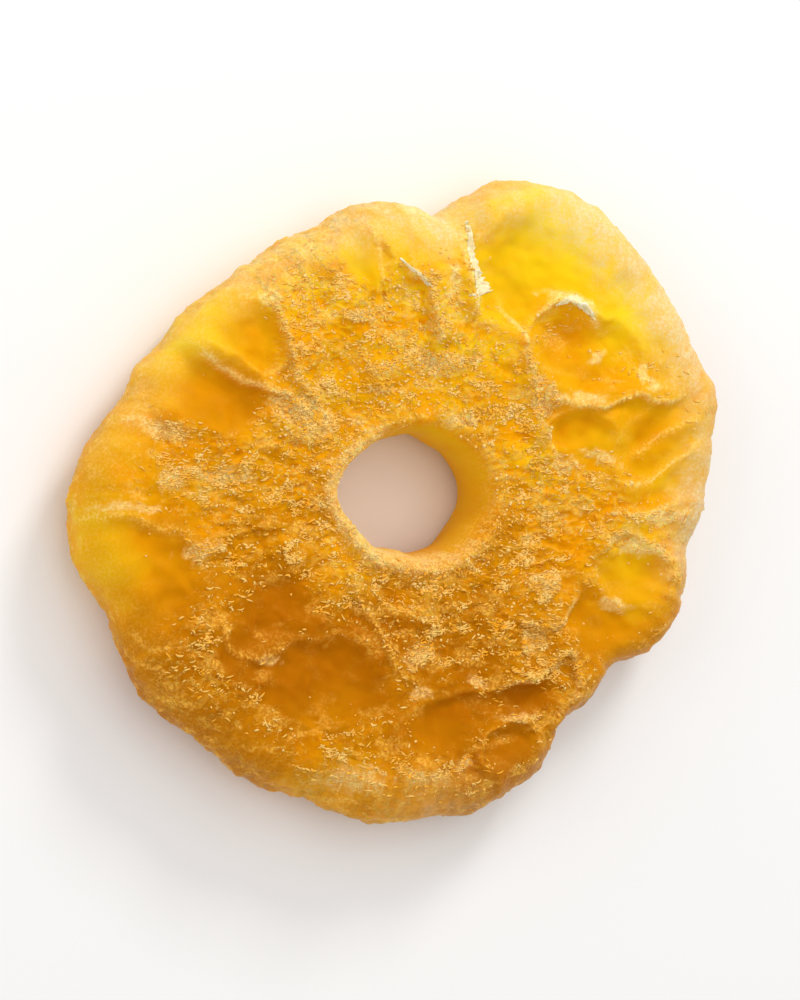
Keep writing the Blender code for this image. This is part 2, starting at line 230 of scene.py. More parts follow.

# Where the painted light on the flesh is stronger or weaker than that: right, up, radius, and by how much
PAINTED_LIGHT_SPOTS = (
    (18.0, 29.0, 9.0, 0.20), (-1.0, 17.0, 7.0, -0.05), (-22.0, 11.5, 7.0, -0.26),
    (-31.0, -7.0, 9.0, 0.26), (31.0, -8.0, 8.0, 0.42), (35.0, 2.0, 8.0, 0.10), (25.0, -13.0, 8.0, 0.20),
    (16.0, -10.0, 6.0, 0.12), (-39.0, -6.0, 7.0, 0.36), (2.0, -36.0, 5.0, 0.22), (-8.0, -32.0, 8.0, 0.38),
    (21.5, 15.0, 5.0, -0.12), (-18.0, 19.0, 5.0, -0.15), (-15.0, -13.0, 7.0, -0.32),
    (-3.0, -14.0, 5.0, -0.10), (6.0, 20.0, 5.0, 0.30), (18.0, 4.0, 5.0, 0.34), (29.0, 20.5, 4.0, 0.20),
    (-27.0, 20.0, 7.0, 0.4), (-12.0, 25.0, 5.0, 0.26), (33.0, 7.0, 5.0, 0.08), (7.0, -18.0, 7.0, -0.10),
    (-6.0, -7.0, 4.0, 0.50), (4.0, 15.0, 5.0, 0.22),
)

# Where the face is smooth and clear, beside its pockets: right, up, radius, and how far
SMOOTH_SPOTS = (
    (20.0, 27.0, 13.0, 1.1), (29.0, 16.0, 8.0, 0.9), (35.0, 5.0, 8.0, 1.0), (-21.0, 16.0, 8.0, 0.9),
    (-33.0, -7.5, 10.0, 1.1), (-9.0, -21.0, 11.0, 0.75), (8.0, -25.0, 8.0, 0.7), (27.0, -12.0, 8.0, 0.9),
    (1.0, 30.0, 6.0, 0.7), (-34.0, 7.0, 5.0, 0.6), (-27.0, 20.0, 6.0, 0.8), (22.0, 7.0, 4.0, 0.6),
    (-15.0, -12.0, 5.0, 0.6),
)

# Where smooth parts are sugared after all: right, up, radius, and how far
SUGARED_SPOTS = (
    (19.5, 19.5, 3.6, 0.65), (26.0, 13.5, 3.5, 0.45), (31.0, 15.0, 3.0, 0.35), (-6.0, -29.0, 6.0, 0.6),
    (24.0, -11.0, 3.0, 0.35), (12.0, -26.0, 4.0, 0.5), (-31.0, 2.0, 4.0, 0.4), (-14.0, -14.0, 4.0, 0.25),
    (33.0, -8.0, 3.0, 0.2), (36.0, 10.0, 5.0, 0.3),
)

# Where a pale film lies on the outer part of the face: right, up, radius, and how thick
HAZY_SPOTS = (
    (35.0, 22.0, 7.0, 1.4), (24.0, 32.0, 8.0, 1.3), (36.0, 14.0, 4.0, 0.7), (5.0, 32.0, 7.0, 1.0),
    (-6.0, 32.0, 6.0, 0.5), (-14.0, 29.0, 6.0, 0.5), (-33.0, 20.0, 6.0, 1.0), (-40.0, 11.0, 4.0, 0.5),
    (-24.0, 27.0, 5.0, 0.5), (-20.0, 26.0, 5.0, 0.25), (-34.0, 12.0, 6.0, 0.2), (39.0, 6.0, 5.0, 0.6),
    (37.0, -2.0, 6.0, 1.1), (5.0, -36.0, 6.0, 0.25), (7.6, 26.0, 3.5, 0.7),
)

# The film begins and is full, and so is the frost of the rim, at these shares of the way out
FILM_FROM = 0.70
FILM_FULL = 0.95
RIM_FROM = 0.80
RIM_FULL = 0.99

# How far the frost of a flap's crest reaches on its left and right
CREST_LEFT = 0.35
CREST_RIGHT = 0.5

# How ragged the edges of smooth parts are, and how frayed those of cream: by how much, and over what size
RAGGED_BY = 0.16
RAGGED_SIZE = 1.6
FRAYED_BY = 0.35
FRAYED_SIZE = 0.8

# Where curls and sugar lie thickest: right, up, half length, half breadth, and slant
CREAM_SPOTS = (
    (4.0, 15.2, 4.4, 1.5, -6), (-2.4, 14.6, 1.6, 0.9, 0), (-11.5, 9.0, 3.6, 2.2, -30),
    (-21.0, 2.4, 4.2, 1.0, -4), (-27.0, 1.8, 1.8, 1.2, 0), (-28.0, 7.4, 3.6, 1.0, -10),
    (-32.0, -1.2, 3.6, 0.5, 0), (-24.0, -5.4, 2.6, 0.8, 8), (2.6, -17.6, 2.4, 1.5, 20),
    (9.6, -21.0, 0.9, 0.9, 0), (2.6, -22.2, 0.9, 0.7, 0), (18.0, -10.0, 1.7, 1.5, 0),
    (27.2, -12.2, 2.2, 1.1, -10), (16.6, -16.6, 1.8, 1.2, 40), (-16.4, -18.0, 1.5, 0.7, -8),
    (17.8, 11.2, 1.6, 2.4, 30), (22.6, 11.0, 3.4, 0.8, 6), (20.4, 3.8, 2.0, 1.2, -10),
    (25.0, 4.4, 2.4, 0.8, -20), (34.0, -2.2, 3.0, 0.7, 4), (30.4, -5.6, 2.8, 1.0, 10),
    (-5.6, -31.2, 4.4, 1.3, -8), (3.0, -31.8, 3.8, 1.0, 4), (8.2, -30.6, 1.6, 0.9, 40),
    (14.6, -25.0, 3.0, 0.6, 10), (-18.2, 28.4, 2.4, 1.2, 20), (4.6, 33.4, 3.2, 1.4, 8),
    (6.9, 23.4, 1.0, 2.4, 0), (-5.2, 20.6, 3.0, 0.8, 10), (7.8, 8.6, 2.4, 0.8, 0),
    (-16.0, 22.6, 1.2, 1.2, 0), (24.6, 16.4, 1.2, 0.6, 10), (30.4, 14.6, 1.5, 0.8, 75),
    (31.6, 13.1, 1.5, 0.7, -20), (20.6, 22.9, 3.0, 0.7, -10),
)

# Shreds of torn skin: half width at one end, the middle and the other end, how far they stand up, and
# points along them
SHREDS = (
    ((0.10, 0.40, 1.5), 0.4, ((8.9, 31.4), (8.7, 28.4), (9.0, 25.6), (9.9, 22.9))),
    ((0.06, 0.14, 0.10), 0.25, ((-0.2, 26.9), (1.4, 25.3), (3.6, 23.7))),
    ((0.06, 0.60, 0.08), 0.45, ((23.9, 20.3), (22.3, 22.0), (20.7, 22.6), (19.2, 21.9))),
)
SHRED_STEPS = 90
SHRED_ACROSS = 9
SHRED_THICKNESS = 0.10
SHRED_RAGGED = 0.6
SHRED_CRINKLE = 0.25

# Sugar grains: how many lie on the ring, their least and greatest radius, how far they sink in, and how
# much they are stretched, are uneven and stray
SUGAR_GRAINS = 9000
SUGAR_LEAST = 0.06
SUGAR_MOST = 0.22
SUGAR_SUNK = 0.35
SUGAR_STRETCH = 0.5
SUGAR_UNEVEN = 0.25
SUGAR_STRAY = 0.15

# Curls of dried fibre and sugar: how many, how long, how thick, how far they bend and stray from X, the
# rings of points along each, how much they slope, how much wider than high they are, and how they taper
SUGAR_CURLS = 6000
CURL_SHORT = 0.28
CURL_LONG = 1.1
CURL_THIN = 0.06
CURL_THICK = 0.13
CURL_BEND = 1.5
CURL_STRAY = 0.45
CURL_RINGS = 5
CURL_SLOPE = 0.12
CURL_WIDER = 1.5
CURL_TAPER = 0.75

# How far under the ring the floor lies, so that no two faces share a plane
FLOOR_GAP = 0.05

# How likely sugar lies on bare flesh, on frost, in clusters and on cream, and anywhere on the top. Curls
# keep off the rim of the hole: how far out from it they begin and are full.
BARE_CHANCE = 0.04
FROST_CHANCE = 0.3
CLUSTER_CHANCE = 0.9
CREAM_CHANCE = 0.6
TOP_CHANCE = 0.003
SUGAR_CLUSTER_SIZE = 1.6
CURLS_FROM = 2.0
CURLS_FULL = 3.6

# The camera looks down at the ring from this far off its axis, towards its left
CAMERA_OFF_AXIS = 23.0
CAMERA_DISTANCE = 0.475
CAMERA_LENS = 150.0

# Colours of the flesh, from the painted shade in its hollows to its frost. From AMBER to YELLOW they follow
# more and more painted light, GLOWING is a painted glow, and the frost and cream each have a warmer copy for
# painted shade.
HOLLOW_SHADE = (0.44, 0.125, 0.0004, 1.0)
AMBER = (0.50, 0.155, 0.0005, 1.0)
ORANGE = (0.78, 0.325, 0.001, 1.0)
GLOWING = (0.90, 0.34, 0.0, 1.0)
GOLD = (0.97, 0.53, 0.004, 1.0)
YELLOW = (0.94, 0.67, 0.008, 1.0)
FILM = (0.83, 0.68, 0.39, 1.0)
SHADED_FROST = (0.98, 0.52, 0.07, 1.0)
FROST = (1.0, 0.66, 0.14, 1.0)
SHADED_CREAM = (1.0, 0.61, 0.18, 1.0)
CREAM = (1.0, 0.77, 0.30, 1.0)

# How glossy the flesh is and the tint of its gloss, how milky it is inside, and how far light goes in, in
# metres and for each colour
FLESH_GLOSS = 0.05
FLESH_GLOSS_TINT = (1.0, 0.72, 0.22, 1.0)
FLESH_MILKY = 0.5
FLESH_DEPTH = 0.0012
FLESH_DEPTH_BY_COLOUR = (1.0, 0.42, 0.06)

# Colours of the torn skin and of the floor: their dark and pale shades
SKIN_SHADES = ((1.0, 0.84, 0.44, 1.0), (1.0, 0.94, 0.68, 1.0))
FLOOR_SHADES = ((0.93, 0.93, 0.93, 1.0), (0.96, 0.96, 0.96, 1.0))

# Colours of the sugar: its dark and pale shades where the flesh gets painted shade, then the same two where
# it gets painted light. Then how glossy it is, and the tint of its gloss.
GRAIN_SHADES = (
    (1.0, 0.48, 0.04, 1.0), (1.0, 0.70, 0.24, 1.0), (1.0, 0.58, 0.08, 1.0), (1.0, 0.73, 0.30, 1.0),
)
GRAIN_GLOSS = 0.35
CURL_SHADES = (
    (1.0, 0.46, 0.02, 1.0), (1.0, 0.67, 0.18, 1.0), (1.0, 0.54, 0.04, 1.0), (1.0, 0.67, 0.20, 1.0),
)
CURL_GLOSS = 0.1
SUGAR_GLOSS_TINT = (1.0, 0.8, 0.4, 1.0)

# The soft lights: name, place, watts, size and colour, and the even light from all round
LIGHTS = (
    ("key", (0.20, 0.42, 0.32), 1.25, 0.16, (1.0, 0.98, 0.95)),
    ("overhead", (0.05, 0.15, 0.60), 1.05, 0.60, (1.0, 0.99, 0.98)),
    ("fill", (-0.40, 0.12, 0.28), 0.4, 0.30, (1.0, 0.99, 0.98)),
)
WORLD_COLOUR = (1.0, 0.99, 0.98, 1.0)
WORLD_STRENGTH = 0.55

# The shares that the flesh's material reads at each point; light is the painted light and shade
SHARES = ("glassy", "frosted", "hazy", "creamy", "light", "crest")


def smooth_step(start, end, value):
    """0 at start and 1 at end, with a smooth slope between."""
    share = np.clip((value - start) / (end - start), 0.0, 1.0)
    return share * share * (3.0 - 2.0 * share)


def turn_from(angle, other):
    """The turn in degrees from one angle to the other, the short way."""
    return (angle - other + 180.0) % 360.0 - 180.0


def rim_radius(angle):
    """The lobed rim: the soft maximum of one cap for each fruitlet, moved along +X by RIM_SHIFT."""
    caps = [reach - LOBE_DROP * (turn_from(angle, at) / half) ** 2 for at, reach, half in FRUITLETS]
    lobed = LOBE_BLEND * np.log(sum(np.exp(cap / LOBE_BLEND) for cap in caps))
    return lobed + RIM_SHIFT * np.cos(np.radians(angle))


def hole_radius(angle):
    """The hole is a shrunken oval with a bulge, a tip and a slight ripple."""
    turned = np.radians(angle)
    oval = 1.0 / np.hypot(np.cos(turned) / HOLE_HALF_WIDTH, np.sin(turned) / HOLE_HALF_HEIGHT)
    bulge = HOLE_BULGE * np.cos(np.radians(angle - HOLE_BULGE_AT))
    tip = HOLE_TIP * np.exp(-((turn_from(angle, HOLE_TIP_AT) / HOLE_TIP_SPREAD) ** 2))
    ripple = np.sin(5.0 * turned + 0.7) + 0.7 * np.sin(9.0 * turned + 2.1)
    return oval + bulge + tip + HOLE_RIPPLE * ripple


def unevenness(x, y, z, size, seed, octaves=3):
    """Smooth noise of about -1 to 1 whose lumps have the given size."""
    return np.array(
        [
            noise.fractal(Vector((a / size, b / size, c / size + seed)), 0.9, 2.0, octaves)
            for a, b, c in zip(x, y, z)
        ]
    )


def grains(x, y, z, size, seed):
    """0 between close-packed round grains of the given size, and 1 on top of each."""
    gaps = [noise.voronoi(Vector((a / size, b / size, c / size + seed)))[0][0] for a, b, c in zip(x, y, z)]
    return smooth_step(0.75, 0.1, np.array(gaps))


def strands(angle, radius):
    """Noise of about -1 to 1 drawn out along the radius."""
    turned = np.radians(angle)
    about = STRANDS_A_RADIAN
    return unevenness(about * np.cos(turned), about * np.sin(turned), radius / STRAND_LENGTH, 1.0, 7.1)


def basin(x, y, right, up, half_long, half_short, slant, deep_side):
    """How far out of a tilted oval a point lies, 1 on its edge, and how near its deep side, from 0 to 1."""
    turned = np.radians(slant)
    along = ((x - right) * np.cos(turned) + (y - up) * np.sin(turned)) / half_long
    across = ((y - up) * np.cos(turned) - (x - right) * np.sin(turned)) / half_short
    toward = np.radians(deep_side - slant)
    tilt = np.clip(0.5 + POCKET_TILT * (along * np.cos(toward) + across * np.sin(toward)), 0.0, 1.0)
    return np.hypot(along, across), tilt


def pocket(x, y, right, up, half_long, half_short, slant, depth, lip, deep_side):
    """An oval basin whose floor slopes: steep, deep and lipped on one side, level on the other."""
    reach, tilt = basin(x, y, right, up, half_long, half_short, slant, deep_side)
    edge = lip * np.exp(-(((reach - LIP_AT) / LIP_SPREAD) ** 2))
    return tilt * (edge - depth * smooth_step(LIP_AT, FLOOR_TO, reach))


def curve_through(points, samples=40):
    """Evenly numbered points along a smooth curve through the given ones."""
    points = np.array(points, float)
    ends = np.vstack([2.0 * points[0] - points[1], points, 2.0 * points[-1] - points[-2]])
    places = np.linspace(0.0, len(points) - 1.0, samples)
    step = np.minimum(places.astype(int), len(points) - 2)
    t = (places - step)[:, None]
    before, start, end, after = (ends[step + k] for k in range(4))
    bend = 2.0 * before - 5.0 * start + 4.0 * end - after
    twist = 3.0 * (start - end) + after - before
    return 0.5 * (2.0 * start + (end - before) * t + bend * t**2 + twist * t**3)


def ridge(x, y, left_width, right_width, height, points):
    """A ridge along a curve, which dies away at both ends and may be steeper on one side."""
    line = curve_through(points)
    heading = np.gradient(line, axis=0)
    gaps = np.hypot(x[:, None] - line[:, 0], y[:, None] - line[:, 1])
    nearest = gaps.argmin(axis=1)
    away_x, away_y = x - line[nearest, 0], y - line[nearest, 1]
    on_left = heading[nearest, 0] * away_y - heading[nearest, 1] * away_x > 0.0
    width = np.where(on_left, left_width, right_width)
    along = nearest / (len(line) - 1.0)
    taper = smooth_step(0.0, 0.15, along) * smooth_step(1.0, 0.85, along)
    return height * (0.25 + 0.75 * taper) * np.exp(-((gaps.min(axis=1) / width) ** 2))


def drifted(x, y):
    """The place strayed a little each way, so that no form has an even outline."""
    right = DRIFT * unevenness(x, y, 0.0 * x, DRIFT_SIZE, 31.5)
    up = DRIFT * unevenness(x, y, 0.0 * x, DRIFT_SIZE, 43.2)
    return x + right, y + up


def collar(angle, radius):
    """The raised rim of the hole, highest at the bottom of the shown face."""
    crest = (radius - hole_radius(angle) - COLLAR_OUT) / COLLAR_WIDTH
    lean = 0.55 + 0.45 * np.cos(np.radians(angle - COLLAR_HIGH_AT))
    return lean * np.exp(-(crest**2))


def shown_face(x, y, angle, radius):
    """The height of the shown face over its level."""
    x, y = drifted(x + FACE_SHIFT, y)
    relief = sum(pocket(x, y, *sizes) for sizes in POCKETS)
    relief += sum(ridge(x, y, SHARP_SIDE, GENTLE_SIDE, *sizes) for sizes in FLAPS)
    relief -= sum(ridge(x, y, half_width, half_width, depth, line) for half_width, depth, line in FURROWS)
    for right, up, dome_radius, height in KNOBS:
        relief += height * smooth_step(dome_radius, 0.2 * dome_radius, np.hypot(x - right, y - up))
    relief += COLLAR_HEIGHT * collar(angle, radius)
    relief += STRAND_HEIGHT * strands(angle, radius) * smooth_step(STRANDS_FROM, STRANDS_FULL, radius)
    return relief + LUMP_HEIGHT * unevenness(x, y, 0.0 * x, LUMP_SIZE, 3.7)


def back_face(x, y):
    """The height of the back over the plane that the ring rests on, 0 on the flat spots."""
    relief = BACK_LUMP_HEIGHT * (unevenness(x, y, 0.0 * x, BACK_LUMP_SIZE, 11.3) + BACK_LUMP_BIAS)
    relief -= sum(pocket(x, y, *sizes) for sizes in BACK_HOLLOWS)
    for at in REST_SPOTS:
        turned = np.radians(at)
        away = np.hypot(x - REST_SPOT_OUT * np.cos(turned), y - REST_SPOT_OUT * np.sin(turned))
        relief = relief * smooth_step(REST_SPOT_RADIUS, 1.5 * REST_SPOT_RADIUS, away)
    return np.maximum(relief, 0.0)


def carve(angle, across, level):
    """Where a point of the blank goes, from its share of the way out to the rim and of the way up."""
    inner = hole_radius(angle) - HOLE_WAIST * np.sin(np.pi * level)
    outer = rim_radius(angle)
    radius = inner + across * (outer - inner)
    turned = np.radians(angle)
    x, y = radius * np.cos(turned), radius * np.sin(turned)
    back = back_face(x, y)
    sag = SAG * np.cos(np.radians(2.0 * (angle - SAG_AT))) * (radius / BLANK_RIM_RADIUS) ** 2
    top = THICKNESS + sag + shown_face(x, y, angle, radius)
    z = back + level * (top - back)
    side = smooth_step(0.8, 1.0, across) * np.sin(np.pi * np.clip(level, 0.0, 1.0))
    swell = RIM_LUMP_HEIGHT * side * unevenness(x, y, z, RIM_LUMP_SIZE, 21.9)
    return np.column_stack((x + swell * np.cos(turned), y + swell * np.sin(turned), z))


def blank_profile():
    """The blank's closed section as (across, level): rim, back, hole, then top."""
    rim_turn = np.linspace(90.0, -90.0, RIM_ROWS + 1)
    rim = [(1.0 - RIM_ROUND * (1.0 - np.cos(a)), 0.5 + 0.5 * np.sin(a)) for a in np.radians(rim_turn)]
    hole_turn = np.linspace(-90.0, -270.0, HOLE_ROWS + 1)
    hole = [(HOLE_ROUND * (1.0 + np.cos(a)), 0.5 + 0.5 * np.sin(a)) for a in np.radians(hole_turn)]
    back = [(across, 0.0) for across in np.linspace(1.0 - RIM_ROUND, HOLE_ROUND, BACK_ROWS + 1)[1:-1]]
    top = [(across, 1.0) for across in np.linspace(HOLE_ROUND, 1.0 - RIM_ROUND, TOP_ROWS + 1)[1:-1]]
    return np.array(rim + back + hole + top)


def turned_grid(profile):
    """The angle, across and level of every point of the turned blank, and the corners of every face."""
    rows = len(profile)
    angle = np.repeat(np.arange(TURN_STEPS) * 360.0 / TURN_STEPS, rows)
    across = np.tile(profile[:, 0], TURN_STEPS)
    level = np.tile(profile[:, 1], TURN_STEPS)
    step, row = np.divmod(np.arange(TURN_STEPS * rows), rows)
    following = (step + 1) % TURN_STEPS
    beside = (row + 1) % rows
    corners = np.column_stack(
        (step * rows + row, step * rows + beside, following * rows + beside, following * rows + row)
    )
    return angle, across, level, corners


def mesh_object(name, points, faces):
    """A mesh object from points in millimetres, shaded smooth."""
    mesh = bpy.data.meshes.new(name)
    mesh.from_pydata((points * TO_METRES).tolist(), [], faces.tolist())
    mesh.shade_smooth()
    made = bpy.data.objects.new(name, mesh)
    bpy.context.scene.collection.objects.link(made)
    return made


def normals_of(mesh):
    """Every vertex's normal, as rows."""
    flat = np.empty(len(mesh.vertices) * 3, np.float32)
    mesh.vertex_normals.foreach_get("vector", flat)
    return flat.reshape(-1, 3).astype(float)


def store(mesh, name, values):
    """Keeps one number for each vertex, which the material reads."""
    mesh.attributes.new(name, "FLOAT", "POINT").data.foreach_set("value", values.astype(np.float32))


def near(x, y, right, up, reach):
    """1 at a place, and less and less away from it."""
    return np.exp(-(((x - right) ** 2 + (y - up) ** 2) / reach**2))


def surface_shares(points, angle, across, level):
    """How glassy, frosted, hazy and creamy the flesh is at each point, and how much painted light it gets,
    from 0 to 1.
    """
    x, y = points[:, 0], points[:, 1]
    radius = np.hypot(x, y)
    x = x + FACE_SHIFT
    strayed = drifted(x, y)
    up = smooth_step(0.3, 0.9, level)
    glassy = np.zeros(len(x))
    sunk = np.zeros(len(x))
    lipped = np.zeros(len(x))
    ragged = RAGGED_BY * unevenness(x, y, 0.0 * x, RAGGED_SIZE, 15.5)
    for right, up_at, long, short, slant, _, _, deep_side in POCKETS:
        reach, tilt = basin(*strayed, right, up_at, long, short, slant, deep_side)
        glassy = np.maximum(glassy, smooth_step(1.1, 0.6, reach + ragged))
        sunk = np.maximum(sunk, tilt * smooth_step(LIP_AT, FLOOR_TO, reach))
        lipped = np.maximum(lipped, tilt * np.exp(-(((reach - LIP_AT) / 0.08) ** 2)))
    below = np.zeros(len(x))
    for right, up_at, long, short, slant, _, _, deep_side in BACK_HOLLOWS:
        reach, _ = basin(x - FACE_SHIFT, y, right, up_at, long, short, slant, deep_side)
        below = np.maximum(below, 0.85 * smooth_step(1.1, 0.5, reach + 2.0 * ragged))
    wall = smooth_step(0.05, 0.02, across) * smooth_step(1.0, 0.9, level)
    clear = sum(amount * near(x, y, right, up_at, reach) for right, up_at, reach, amount in SMOOTH_SPOTS)
    glassy = np.maximum(glassy, 0.9 * smooth_step(0.20, 0.90, clear + ragged))
    for right, up_at, reach, amount in SUGARED_SPOTS:
        glassy *= 1.0 - amount * near(x, y, right, up_at, reach)
    glassy = np.maximum(up * glassy + (1.0 - up) * below, wall)

    crests = np.zeros(len(x))
    high_crests = np.zeros(len(x))
    for height, line in FLAPS:
        crest = ridge(*strayed, CREST_LEFT, CREST_RIGHT, 1.0, line)
        crests = np.maximum(crests, crest)
        high_crests = np.maximum(high_crests, min(height, 1.0) * crest)
    rim = smooth_step(RIM_FROM, RIM_FULL, across)
    film = sum(amount * near(x, y, right, up_at, reach) for right, up_at, reach, amount in HAZY_SPOTS)
    patchy = 0.8 + 0.7 * unevenness(x, y, points[:, 2], 1.7, 17.1)
    hazy = film * smooth_step(FILM_FROM, FILM_FULL, across) * patchy
    frosted = up * np.maximum(0.75 * crests + 0.25 * lipped, 1.2 * collar(angle, radius)) + 0.2 * rim
    frayed = FRAYED_BY * unevenness(x, y, points[:, 2], FRAYED_SIZE, 33.3)
    around = 0.5 + 0.5 * np.cos(np.radians(angle - CREAM_COLLAR_AT))
    band = np.exp(-(((radius - hole_radius(angle) - CREAM_COLLAR_OUT) / CREAM_COLLAR_WIDTH) ** 2))
    creamy = smooth_step(0.28, 0.55, around * band + 0.5 * frayed)
    creamy = np.maximum(creamy, 0.7 * smooth_step(0.45, 0.9, high_crests + 0.5 * frayed))
    for right, up_at, long, short, slant in CREAM_SPOTS:
        reach, _ = basin(*strayed, right, up_at, long, short, slant, 0.0)
        creamy = np.maximum(creamy, smooth_step(1.2, 0.5, reach + ragged + 1.6 * frayed))

    # Painted light and shade: lighter towards the top of the shown face, painted shade in the pockets,
    # painted light on the hole's wall and at the listed spots, and patchy
    light = LEAST_PAINTED_LIGHT + (MOST_PAINTED_LIGHT - LEAST_PAINTED_LIGHT) * smooth_step(SHADED_BELOW, LIT_ABOVE, y)
    light -= POCKET_PAINTED_SHADE * up * sunk
    for right, up_at, reach, amount in PAINTED_LIGHT_SPOTS:
        light += amount * near(x, y, right, up_at, reach)
    light += PAINTED_LIGHT_PATCH * unevenness(x, y, points[:, 2], PAINTED_LIGHT_PATCH_SIZE, 61.3) + WALL_PAINTED_LIGHT * wall
    return [np.clip(share, 0, 1) for share in (glassy, frosted, hazy, up * creamy, light)]


def fine_relief(points, glassy, frosted, creamy):
    """The height of crumbs, curled crests and grains, and how far up a crest each point lies."""
    x, y, z = points.T
    drawn = x / FIBRE_STRETCH
    clustered = smooth_step(-0.45, 0.35, unevenness(x, y, z, CLUSTER_SIZE, 91.0))
    crumbs = 1.0 - np.abs(unevenness(drawn, y, z, CRUMB_SIZE, 77.7)) * 2.2
    crests = np.exp(-((unevenness(drawn, y, z, CREST_SIZE, 52.4, 2) / CREST_HALF_WIDTH) ** 2))
    rough = (1.0 - 0.93 * glassy) * (0.35 + 0.65 * clustered)
    relief = CRUMB_HEIGHT * (np.maximum(crumbs, -0.6) - 0.4) * rough
    relief += CREST_HEIGHT * (crests - 0.4) * rough
    heaped = np.maximum(frosted * (1.0 - glassy), 0.6 * creamy)
    relief += GRAIN_HEIGHT * (grains(x, y, z, GRAIN_SIZE, 5.5) - 0.4) * heaped + 0.4 * GRAIN_HEIGHT * creamy
    crest = np.clip(0.55 * crests + 0.5 * np.maximum(crumbs, 0.0), 0.0, 1.0) * rough
    return relief, crest


def flesh_mesh():
    """The flesh on a fine mesh: the carved form, then the fine relief along its normals.

    Gives it with its points before their shift to the solid's box, that shift, and shares for the sugar.
    """
    angle, across, level, corners = turned_grid(blank_profile())
    points = carve(angle, across, level)
    flesh = mesh_object("flesh", points, corners)
    glassy, frosted, hazy, creamy, light = surface_shares(points, angle, across, level)
    relief, crest = fine_relief(points, glassy, frosted, creamy)
    points = points + normals_of(flesh.data) * relief[:, None]
    points[:, 2] = np.maximum(points[:, 2], 0.0)
    middle = 0.5 * (points.min(axis=0) + points.max(axis=0))
    low, high = (np.array(corner) / TO_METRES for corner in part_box(NODE))
    shift = 0.5 * (low + high) - middle
    shift[2] = 0.0
    flesh.data.vertices.foreach_set("co", ((points + shift) * TO_METRES).ravel())
    flesh.data.update()
    for name, values in zip(SHARES, (glassy, frosted, hazy, creamy, light, crest)):
        store(flesh.data, name, values)
    return flesh, points, shift, glassy, frosted, creamy, light, level


def new_material(name):
    """An empty node material with its shader, and a short way to add a node."""
    material = bpy.data.materials.new(name)
    material.use_nodes = True
    nodes = material.node_tree.nodes
    links = material.node_tree.links
    shader = nodes["Principled BSDF"]

    def add(kind, inputs=(), **settings):
        node = nodes.new(kind)
        for key, value in settings.items():
            setattr(node, key, value)
        for key, value in dict(inputs).items():
            if isinstance(value, bpy.types.NodeSocket):
                links.new(value, node.inputs[key])
            else:
                node.inputs[key].default_value = value
        return node

    return material, shader, links, add


def attribute(add, name):
    """A number that the mesh keeps for each vertex."""
    return add("ShaderNodeAttribute", attribute_name=name).outputs["Fac"]


def mixed(add, share, first, second):
    """A colour that goes from the first to the second as the share goes from 0 to 1."""
    return add("ShaderNodeMix", {0: share, 6: first, 7: second}, data_type="RGBA").outputs[2]


def worked(add, operation, first, second):
    """One sum on two numbers."""
    return add("ShaderNodeMath", {0: first, 1: second}, operation=operation).outputs[0]


def ranged(add, value, from_low, from_high, to_low, to_high):
    """The value carried from one range to another, and held inside it."""
    ends = {"From Min": from_low, "From Max": from_high, "To Min": to_low, "To Max": to_high}
    return add("ShaderNodeMapRange", {"Value": value, **ends}).outputs[0]


def clouds(add, place, scale, detail=3.0, distortion=0.0):
    """Soft noise from 0 to 1, most of it near a half, with about scale lumps to a metre."""
    inputs = {"Vector": place, "Scale": scale, "Detail": detail, "Distortion": distortion}
    return add("ShaderNodeTexNoise", inputs).outputs[0]


def thin_lines(add, cloudy, half_width):
    """1 on the winding lines where a noise crosses a half, and 0 away from them."""
    off = add("ShaderNodeMath", {0: worked(add, "SUBTRACT", cloudy, 0.5)}, operation="ABSOLUTE").outputs[0]
    return ranged(add, off, 0.0, half_width, 1.0, 0.0)


